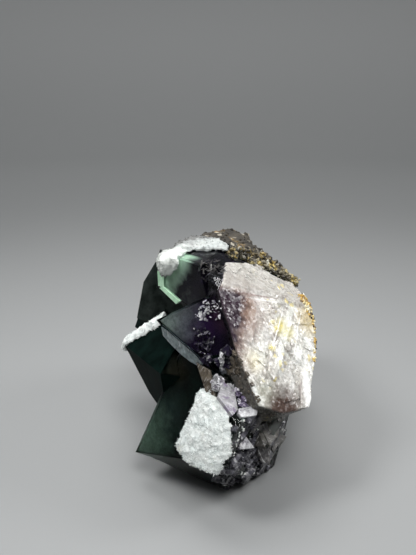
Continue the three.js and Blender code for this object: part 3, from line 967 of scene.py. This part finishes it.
cleavageGroups = {
    "cornerSteps": {"crystal": "lower", "look": "cornerCleavage", "count": 110, "sizes": (1, 4), "seed": 3,
        "wobble": 5, "middle": (9, -36, 17), "radius": 17, "outward": (0.83, -0.55, -0.1), "facing": 0.75,
        "behind": 4},
    "smokySteps": {"crystal": "lower", "look": "oliveCleavage", "count": 36, "sizes": (1, 3.6), "seed": 4,
        "wobble": 10, "middle": (16, -26, 15), "radius": 9, "outward": (0.6, -0.7, 0.3), "facing": 0.2,
        "behind": 6},
    "tipSteps": {"crystal": "lower", "look": "cornerCleavage", "count": 60, "sizes": (0.7, 2.4), "seed": 18,
        "wobble": 8, "middle": (9, -31, 5), "radius": 9, "outward": (0.45, -0.61, -0.65), "facing": 0.5,
        "behind": 2},
    "neckSteps": {"crystal": "central", "look": "darkCleavage", "count": 30, "sizes": (0.8, 2.4), "seed": 8,
        "wobble": 8, "middle": (-2, -33, 41), "radius": 5.5, "outward": (-0.2, -0.9, 0.1), "facing": 0.6,
        "behind": -9},
    # cornerGlints: near-white flakes whose colour paints glints of light on the broken corner, and reads as
    # white specks as well
    "cornerGlints": {"crystal": "lower", "look": "whiteCleavage", "count": 170, "sizes": (0.2, 0.85),
        "seed": 13, "wobble": 20, "middle": (8, -36, 15), "radius": 14, "outward": (0.83, -0.55, -0.1),
        "facing": 0.75, "behind": 2},
}

# a bias to small steps, and the share of a step's size that lies under the face
stepForm = {"smaller": 2.2, "sunk": (0.25, 0.55)}
crustFace = faces["lowerFace"]
crustOut = np.array(Vector(crustFace["outward"]).normalized())


def addCleavageGroup(name, values):
    middle = np.array(values["middle"], float)
    outward = np.array(Vector(values["outward"]).normalized())

    def accept(places, normals):
        near = np.linalg.norm(places - middle, axis=1) < values["radius"]
        clear = (places - crustFace["point"]) @ crustOut < -values["behind"]
        return near & clear & (normals @ outward > values["facing"])

    places, normals, rng = surfaceSpots(fluoriteCrystals, values["count"], values["seed"], accept)
    turn = np.array(turnOf(crystals[values["crystal"]]))
    placements = []
    for place, normal in zip(places, normals):
        size = between(rng, values["sizes"], stepForm["smaller"])
        sink = size * between(rng, stepForm["sunk"])
        shape = turnNear(rng, values["wobble"]) @ turn * (size * mm)
        middle = place - normal * sink * mm
        if middle[2] > size * mm:  # none reaches under the floor
            placements.append((shape, middle))
    return joinedCopies(name, octahedronCorners, octahedronFaces, placements)


for name, values in cleavageGroups.items():
    finishPiece(addCleavageGroup(name, values), looks[values["look"]], "fluorite")


# white crusts: a lumpy base with small blades standing out of it

crusts = {
    "crust_front": {"piece": "crustFront", "look": "crust", "fineness": 0.4, "lump": 0.3, "lumpSize": 1.2,
        "blades": 4600, "length": 0.5, "width": 0.075, "stand": 0.22, "seed": 11},
    "crust_left": {"piece": "crustLeft", "look": "crust", "fineness": 0.4, "lump": 0.35, "lumpSize": 1.8,
        "blades": 1200, "length": 0.45, "width": 0.1, "stand": 0.25, "seed": 12,
        "end": {"point": (-18.3, -5, 42), "outward": (1, -0.2, 0)}},
    "crust_upper": {"piece": "crustUpper", "look": "upperCrust", "fineness": 0.4, "lump": 0.7, "lumpSize": 3,
        "blades": 900, "length": 0.45, "width": 0.12, "stand": 0.2, "seed": 13,
        "lobes": rows("middle radii", ((-16.5, -10, 61.8), (2.7, 3.4, 3.2)),
            ((-13.8, -9.5, 63.4), (3.4, 3.6, 2.4)), ((-15.6, -8, 63.6), (2.4, 3, 1.8)))},
}


def addCrust(nodeName, values):
    base = copyOfNode(nodeName, values["piece"], flatten=False)
    if "end" in values:
        cutAway(base, values["end"], 0)
    for lobe in values.get("lobes", ()):
        bpy.ops.mesh.primitive_ico_sphere_add(subdivisions=3, radius=mm, location=Vector(lobe["middle"]) * mm)
        part = bpy.context.object
        part.scale = lobe["radii"]
        applyPlace(part)
        base = joinPieces([base, part], values["piece"])
    corners, normals = remeshed(base, values["fineness"])
    for i, (corner, normal) in enumerate(zip(corners, normals)):
        lump = noise.noise(Vector(corner) / (values["lumpSize"] * mm))
        fine = noise.noise(Vector(corner) / (0.45 * values["lumpSize"] * mm))
        corners[i] = corner + normal * ((lump + 0.5 * fine) * values["lump"] * mm)
    setCorners(base, corners)
    places, normals, rng = surfaceSpots(base, values["blades"], values["seed"])
    placements = []
    for place, normal in zip(places, normals):
        out, way = Vector(normal), Vector(rng.normal(size=3)).normalized()
        lean = way - out * way.dot(out) + out * values["stand"]
        turn = np.array(lean.to_track_quat("Z", "Y").to_matrix())
        turn = turn @ np.array(Matrix.Rotation(rng.random() * math.pi, 3, "Z"))
        length = values["length"] * between(rng, (0.5, 1.5))
        width = values["width"] * between(rng, (0.6, 1.4))
        shape = turn @ np.diag((width, 0.45 * width, length)) * mm
        placements.append((shape, place - normal * (0.05 * mm)))
    blades = joinedCopies(values["piece"] + "Blades", blockCorners, blockFaces, placements)
    return joinPieces([base, blades], values["piece"])


for nodeName, values in crusts.items():
    finishPiece(addCrust(nodeName, values), looks[values["look"]], "crust", nodeName, smooth=28)


# matrix rock: rough, with grains on it

rock = {"fineness": 0.75, "lumpSize": 9, "lump": 1.1, "roughSize": 2.6, "rough": 0.5,
        "grains": 3600, "grainSizes": (0.2, 0.9), "grainSide": 0.6, "seed": 21,
        "flatBelow": 1.5, "bareBelow": 2}


def grainShape(rng, sizes, shortest=0.7):
    size = between(rng, sizes, 2)
    return turnNear(rng, 90) @ np.diag(shortest + 0.6 * rng.random(3)) * (size * mm)


def addRock():
    base = copyOfNode("matrix", "matrixRock", flatten=False)
    corners, normals = remeshed(base, rock["fineness"])
    for i, (corner, normal) in enumerate(zip(corners, normals)):
        lump = noise.noise(Vector(corner) / (rock["lumpSize"] * mm))
        rough = noise.turbulence(Vector(corner) / (rock["roughSize"] * mm), 3, False)
        rise = lump * rock["lump"] + (rough - 0.5) * rock["rough"]
        if corner[2] > rock["flatBelow"] * mm:
            corners[i] = corner + normal * (rise * mm)
    setCorners(base, corners)
    places, normals, rng = surfaceSpots(
        base, rock["grains"], rock["seed"], lambda spots, facing: spots[:, 2] > rock["bareBelow"])
    placements = [(grainShape(rng, rock["grainSizes"], rock["grainSide"]), place) for place in places]
    grains = joinedCopies("rockGrains", lumpCorners, lumpFaces, placements)
    return joinPieces([base, grains], "matrixRock")


finishPiece(addRock(), looks["stone"], "matrix", "matrix", smooth=35)


# yellow-brown grains on the pale block's right rim, and two druses between the block's top and the rock

rimGrains = {"rims": [([(29.6, -9.5), (29.4, -14.5)], 2.2), ([(29.4, -14.5), (26.8, -21), (21.8, -27)], 1)],
             "behind": 5, "count": 620, "sizes": (0.15, 0.6), "seed": 31}
druses = {
    "druse": {"look": "druse", "spread": 2, "count": 1500, "sizes": (0.2, 0.85), "seed": 32,
        "route": [(2.5, -6, 63.2), (8, 3, 60.5), (12.5, 6, 58.5), (18, 4.5, 55.3), (22.5, -1, 51.8)]},
    "paleDruse": {"look": "paleDruse", "spread": 1.5, "count": 700, "sizes": (0.2, 0.8), "seed": 33,
        "route": [(9, -3.4, 60.3), (14, -1.6, 58.1), (18, -1.2, 56), (22.5, -1.6, 53.3)]},
}


def nearRoute(points, route, width):
    near = np.zeros(len(points), bool)
    for start, end in zip(route, route[1:]):
        start, end = np.array(start, float), np.array(end, float)
        step = end - start
        share = np.clip((points - start) @ step / (step @ step), 0, 1)
        near |= np.linalg.norm(points - start - share[:, None] * step, axis=1) < width
    return near


def addRimGrains():
    axes = np.array(faceAxes(breaks["pale"]).inverted())

    def accept(places, normals):
        flat = places @ axes[:3, :3].T + axes[:3, 3] / mm
        near = np.zeros(len(flat), bool)
        for rim, width in rimGrains["rims"]:
            near |= nearRoute(flat[:, :2], rim, width)
        return near & (flat[:, 2] > -rimGrains["behind"])

    block = bpy.data.objects["paleBlock"]
    places, normals, rng = surfaceSpots(block, rimGrains["count"], rimGrains["seed"], accept)
    placements = [(grainShape(rng, rimGrains["sizes"]), place) for place in places]
    return joinedCopies("rimGrains", lumpCorners, lumpFaces, placements)


def addDruse(name, values):
    places, rng = [], np.random.default_rng(values["seed"])
    route = [np.array(point, float) for point in values["route"]]
    for i in range(values["count"]):
        leg = rng.integers(len(route) - 1)
        middle = route[leg] + (route[leg + 1] - route[leg]) * rng.random()
        places.append((middle + rng.normal(size=3) * 0.5 * values["spread"]) * mm)
    placements = [(grainShape(rng, values["sizes"]), place) for place in places]
    return joinedCopies(name, lumpCorners, lumpFaces, placements)


finishPiece(addRimGrains(), looks["ochre"], "matrix")
for name, values in druses.items():
    finishPiece(addDruse(name, values), looks[values["look"]], "matrix")


# floor, light and camera

studio = {"floor": (0.245, 0.25, 0.25), "floorRadius": 1.3, "wallHeight": 1, "sweep": 0.45,
          "world": (0.62, 0.64, 0.66), "worldStrength": 0.5,
          "cameraHeight": 110, "cameraBack": 179.95, "cameraSide": -4.04, "pitch": 17.233, "lens": 39}


def addFloor():
    bpy.ops.mesh.primitive_circle_add(vertices=96, radius=studio["floorRadius"], fill_type="NGON")
    floor = bpy.context.object
    floor.name = "floor"
    # the rim drawn up to a wall, with a round sweep between them
    editRim()
    bpy.ops.mesh.extrude_edges_move(TRANSFORM_OT_translate={"value": (0, 0, studio["wallHeight"])})
    bpy.ops.mesh.select_all(action="SELECT")
    bpy.ops.mesh.normals_make_consistent(inside=True)
    leaveEdit()
    applyModifier(floor, "BEVEL", width=studio["sweep"], segments=12, limit_method="ANGLE",
                  angle_limit=math.radians(60))
    bpy.ops.object.shade_smooth()
    floor.data.materials.append(Look("pale floor").give({"Base Color": studio["floor"], "Roughness": 0.6}))


# disk lights, in metres, watts and degrees: those without an aim look at the specimen
lights = namedRows(
    "place width power spread aim",
    topLight=((0.08, -0.3, 0.46), 0.2, 0.3, 75),
    backLight=((-0.12, 0.22, 0.5), 0.25, 0.1, 75),
    leftLight=((-0.32, -0.12, 0.5), 0.2, 0.38, 75),
    rightLight=((0.5, 0.03, 0.42), 0.2, 0.24, 75),
    ceilingLight=((0, 0.5, 1.25), 1, 8, 160, (0, 0.85, 0)),
)


def addLight(name, values):
    lamp = bpy.data.lights.new(name, "AREA")
    lamp.shape = "DISK"
    lamp.size = values["width"]
    lamp.energy = values["power"]
    lamp.spread = math.radians(values["spread"])
    light = bpy.data.objects.new(name, lamp)
    light.location = values["place"]
    aim = Vector(values.get("aim", (0, 0, 0.035)))
    light.rotation_euler = (aim - Vector(values["place"])).to_track_quat("-Z", "Y").to_euler()
    bpy.context.scene.collection.objects.link(light)


addFloor()
for name, values in lights.items():
    addLight(name, values)
world = bpy.data.worlds.new("studio")
bpy.context.scene.world = world
world.use_nodes = True
sky = world.node_tree.nodes["Background"]
sky.inputs["Color"].default_value = (*studio["world"], 1)
sky.inputs["Strength"].default_value = studio["worldStrength"]
bpy.context.scene.view_settings.view_transform = "Standard"

camera = bpy.data.objects.new("camera", bpy.data.cameras.new("camera"))
camera.data.lens = studio["lens"]
camera.data.sensor_width = 36
camera.data.clip_start = 0.005
camera.location = Vector((studio["cameraSide"], -studio["cameraBack"], studio["cameraHeight"])) * mm
camera.rotation_euler = (math.radians(90 - studio["pitch"]), 0, 0)
bpy.context.scene.collection.objects.link(camera)
bpy.context.scene.camera = camera

bpy.context.view_layer.update()
